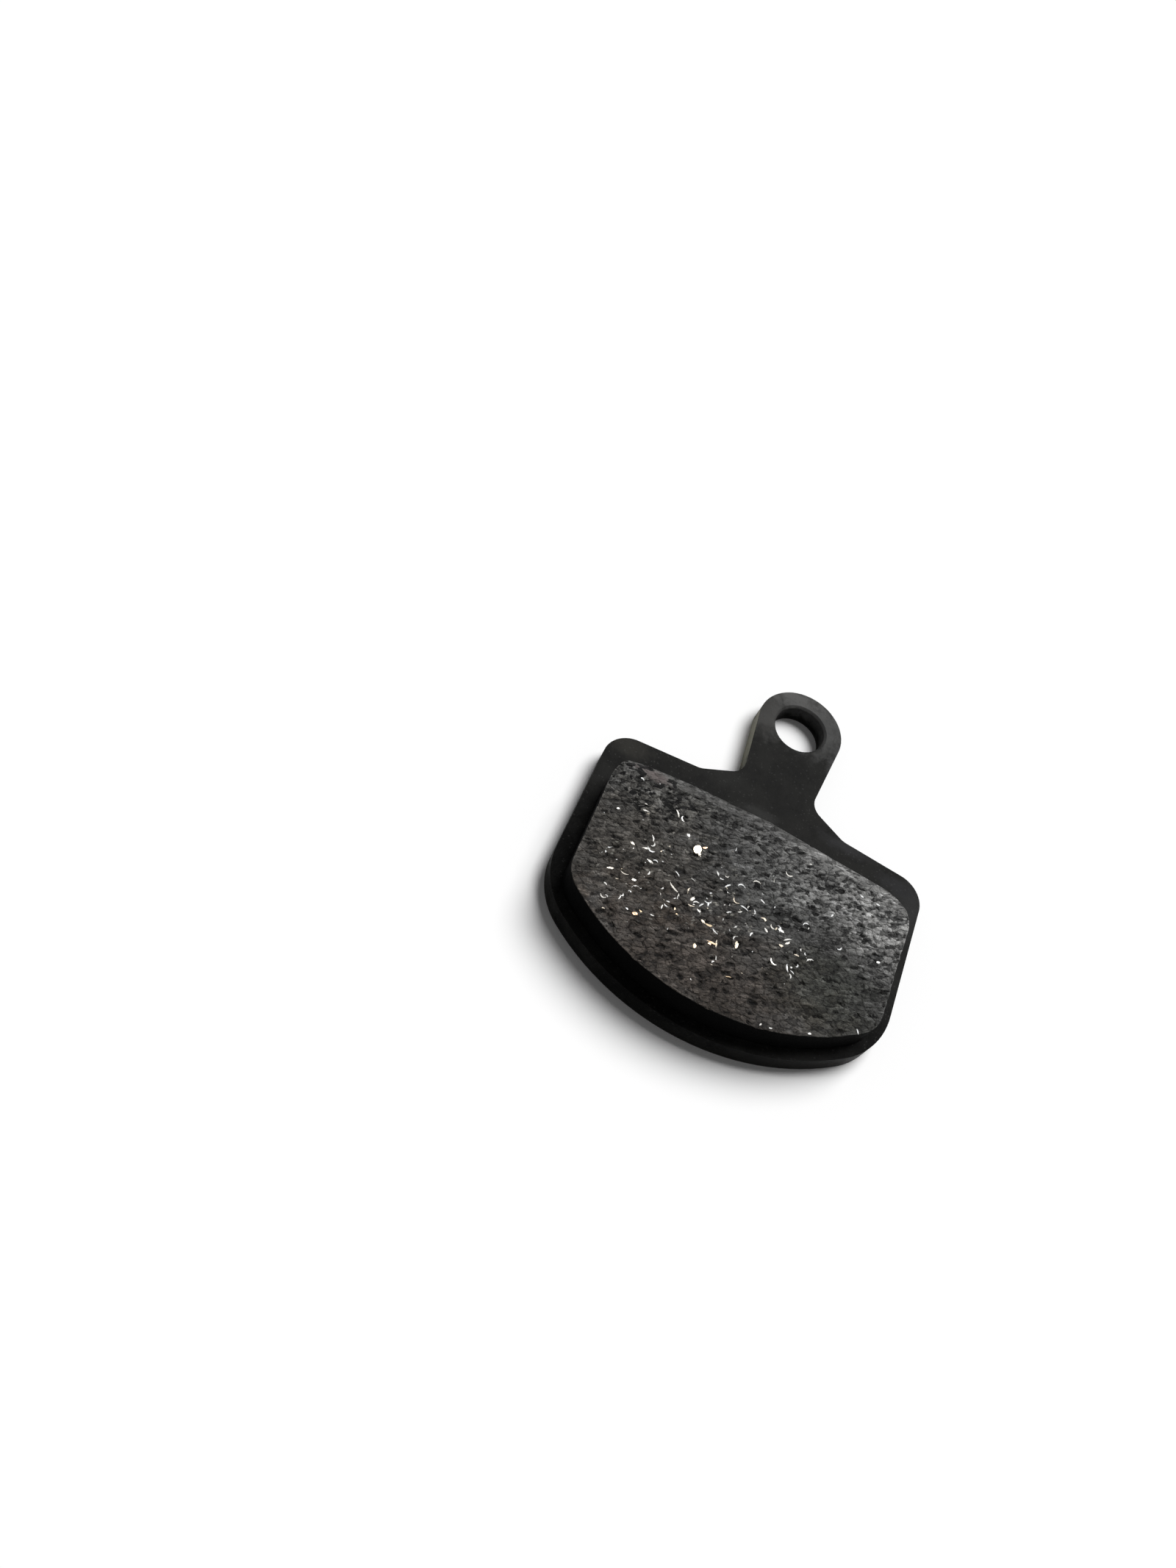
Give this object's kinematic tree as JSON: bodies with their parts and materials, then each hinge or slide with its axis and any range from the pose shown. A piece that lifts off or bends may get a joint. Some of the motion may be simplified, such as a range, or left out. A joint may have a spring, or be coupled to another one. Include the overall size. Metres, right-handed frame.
{
  "type": "bicycle brake pad",
  "caption": "Disc brake pad with a flat coated-steel backing plate, a tab with a round pin hole, and a moulded granular friction block with a bevelled edge on the tab side.",
  "frame": {"origin": "centre of the pin hole on the plate's back face", "axes": "+Z from the back face to the friction face, along the pin hole; +Y out of the tab, away from the block; +X across the pad"},
  "size_m": [0.0286, 0.0347, 0.0042],
  "materials": {
    "coated_steel": "satin",
    "friction_compound": "matte"
  },
  "bodies": {
    "root": {"backing_plate": "coated_steel", "friction_block": "friction_compound"}
  },
  "joints": []
}
